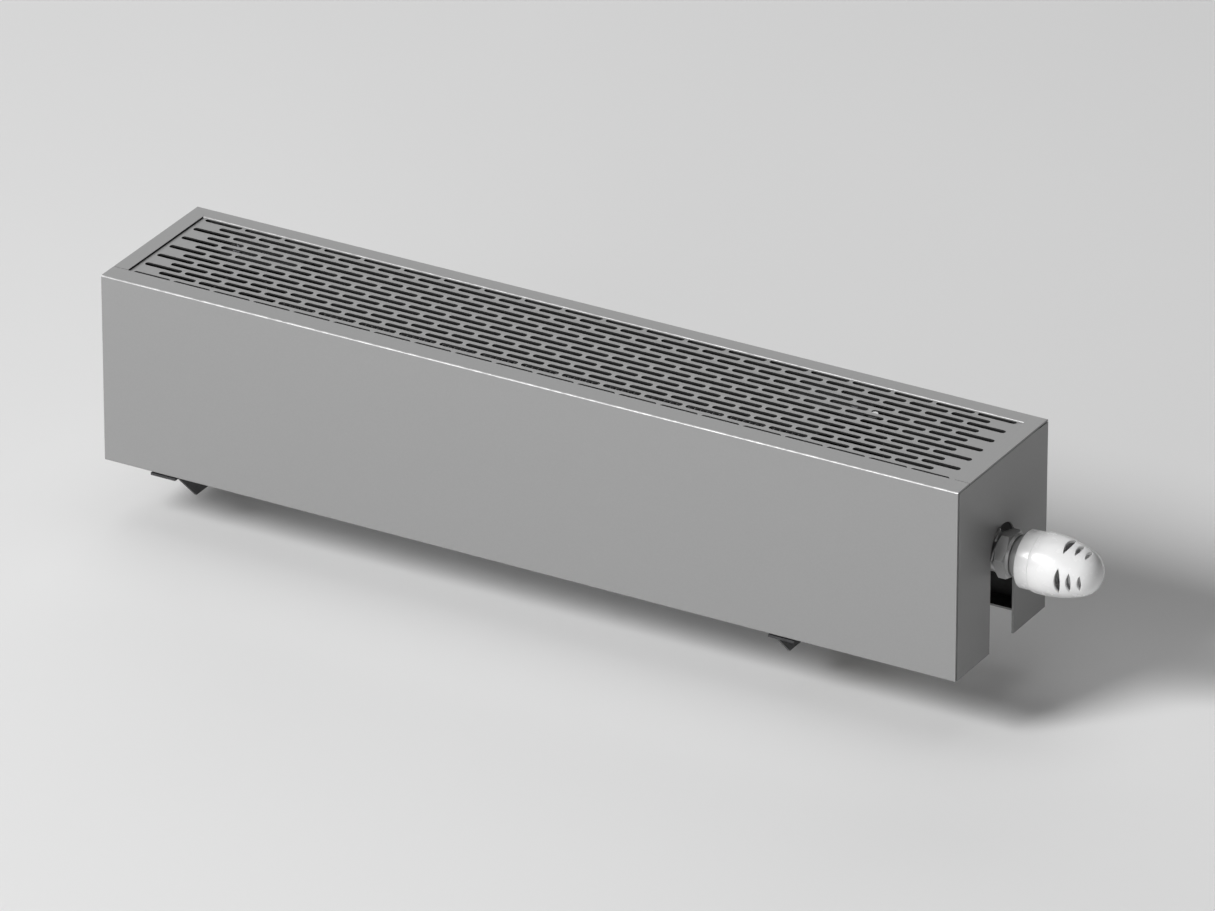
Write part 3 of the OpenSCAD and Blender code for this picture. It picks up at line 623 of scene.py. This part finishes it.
class CONVECTOR_OT_head(Operator):
    """Makes the thermostat head: collar, handwheel, sensor and pin"""

    bl_idname = "convector.head"
    bl_label = "Thermostat head"

    def execute(self, context):
        props = context.scene.convector_head
        white = moulded_plastic("white_plastic", props.plastic, props.gloss, coat=0.15, glow=0.4)
        rounded("head_base", white, props.vent_edge)
        rounded("handwheel", white, props.vent_edge)
        dress(white, "stem_cap")
        pale = moulded_plastic("sensor_plastic", (0.7, 0.7, 0.7), roughness=0.4)
        dress(pale, "sensor", "push_pin")
        return {"FINISHED"}


def lay_floor(props):
    """A plain pale floor below the bracket feet."""
    shape = bmesh.new()
    bmesh.ops.create_grid(shape, x_segments=1, y_segments=1, size=30)
    bmesh.ops.translate(shape, verts=shape.verts, vec=(0, 0, cad_box[0][2] - props.drop))
    mesh = bpy.data.meshes.new("studio_floor")
    shape.to_mesh(mesh)
    shape.free()
    floor = bpy.data.objects.new("studio_floor", mesh)
    bpy.context.scene.collection.objects.link(floor)
    paper = finish("studio_paper", props.floor, 0.9)
    shade_between(paper, pattern(paper, 0.4), tint(props.floor, 0.995), tint(props.floor, 1.005))
    mesh.materials.append(paper)


def softbox(name, power, size, place):
    """A round soft light that looks at the middle of the casing."""
    lamp = bpy.data.lights.new(name, "AREA")
    lamp.energy = power
    lamp.shape = "DISK"
    lamp.size = size
    box = bpy.data.objects.new(name, lamp)
    box.location = place
    aim = Vector((0.05, -0.06, 0)) - box.location
    box.rotation_euler = aim.to_track_quat("-Z", "Y").to_euler()
    bpy.context.scene.collection.objects.link(box)


def surround(strength):
    """Even light from all round."""
    world = bpy.data.worlds.new("studio_surround")
    world.use_nodes = True
    sky = world.node_tree.nodes["Background"]
    sky.inputs["Color"].default_value = (1, 1, 1, 1)
    sky.inputs["Strength"].default_value = strength
    bpy.context.scene.world = world


def aim_camera():
    """A long lens at the photo's angle."""
    lens = bpy.data.cameras.new("photo_view")
    lens.lens = 355.48
    lens.clip_start = 0.1
    lens.clip_end = 100
    camera = bpy.data.objects.new("photo_view", lens)
    camera.location = (3.912898, -6.758389, 3.859644)
    sight = Vector((-0.44456, 0.775914, -0.447574))
    camera.rotation_euler = sight.to_track_quat("-Z", "Y").to_euler()
    bpy.context.scene.collection.objects.link(camera)
    bpy.context.scene.camera = camera


class CONVECTOR_OT_stage(Operator):
    """Sets the floor, the lights and the camera"""

    bl_idname = "convector.stage"
    bl_label = "Studio"

    def execute(self, context):
        props = context.scene.convector_studio
        lay_floor(props)
        softbox("key_softbox", props.key, 3.0, (-2.9, -5.95, 5.25))
        softbox("front_softbox", props.front, 5.0, (0, -8, 2.6))
        softbox("back_softbox", props.back, 9.0, (-4, 7, 4.5))
        softbox("top_softbox", props.top, 6.0, (0.05, 0.3, 7))
        surround(props.ambient)
        context.scene.view_settings.view_transform = "Standard"
        aim_camera()
        return {"FINISHED"}


class CONVECTOR_PT_panel(Panel):
    """Lists the convector's pieces and their finishes"""

    bl_idname = "CONVECTOR_PT_panel"
    bl_label = "Wall Convector"
    bl_space_type = "VIEW_3D"
    bl_region_type = "UI"
    bl_category = "Convector"

    def draw(self, context):
        for group, operators in GROUPS:
            box = self.layout.box()
            props = getattr(context.scene, group)
            for name in props.bl_rna.properties.keys():
                if name not in ("rna_type", "name"):
                    box.prop(props, name)
            for operator in operators:
                box.operator(operator.bl_idname)


GROUPS = (
    ("convector_casing", (CONVECTOR_OT_casing, CONVECTOR_OT_grille, CONVECTOR_OT_casing_fittings)),
    ("convector_core", (CONVECTOR_OT_brackets, CONVECTOR_OT_fin_core)),
    ("convector_valves", (CONVECTOR_OT_headers, CONVECTOR_OT_valves, CONVECTOR_OT_union)),
    ("convector_head", (CONVECTOR_OT_head,)),
    ("convector_studio", (CONVECTOR_OT_stage,)),
)
FINISHES = (CasingFinish, CoreFinish, ValveFinish, HeadFinish, Studio)


def register():
    for (name, operators), props in zip(GROUPS, FINISHES):
        bpy.utils.register_class(props)
        setattr(bpy.types.Scene, name, PointerProperty(type=props))
        for operator in operators:
            bpy.utils.register_class(operator)
    bpy.utils.register_class(CONVECTOR_PT_panel)


def unregister():
    bpy.utils.unregister_class(CONVECTOR_PT_panel)
    for (name, operators), props in zip(GROUPS, FINISHES):
        for operator in operators:
            bpy.utils.unregister_class(operator)
        delattr(bpy.types.Scene, name)
        bpy.utils.unregister_class(props)


def main():
    register()
    bpy.ops.convector.casing()
    bpy.ops.convector.grille()
    bpy.ops.convector.casing_fittings()
    bpy.ops.convector.brackets()
    bpy.ops.convector.fin_core()
    bpy.ops.convector.headers()
    bpy.ops.convector.valves()
    bpy.ops.convector.union()
    bpy.ops.convector.head()
    bpy.ops.convector.stage()


if __name__ == "__main__":
    main()
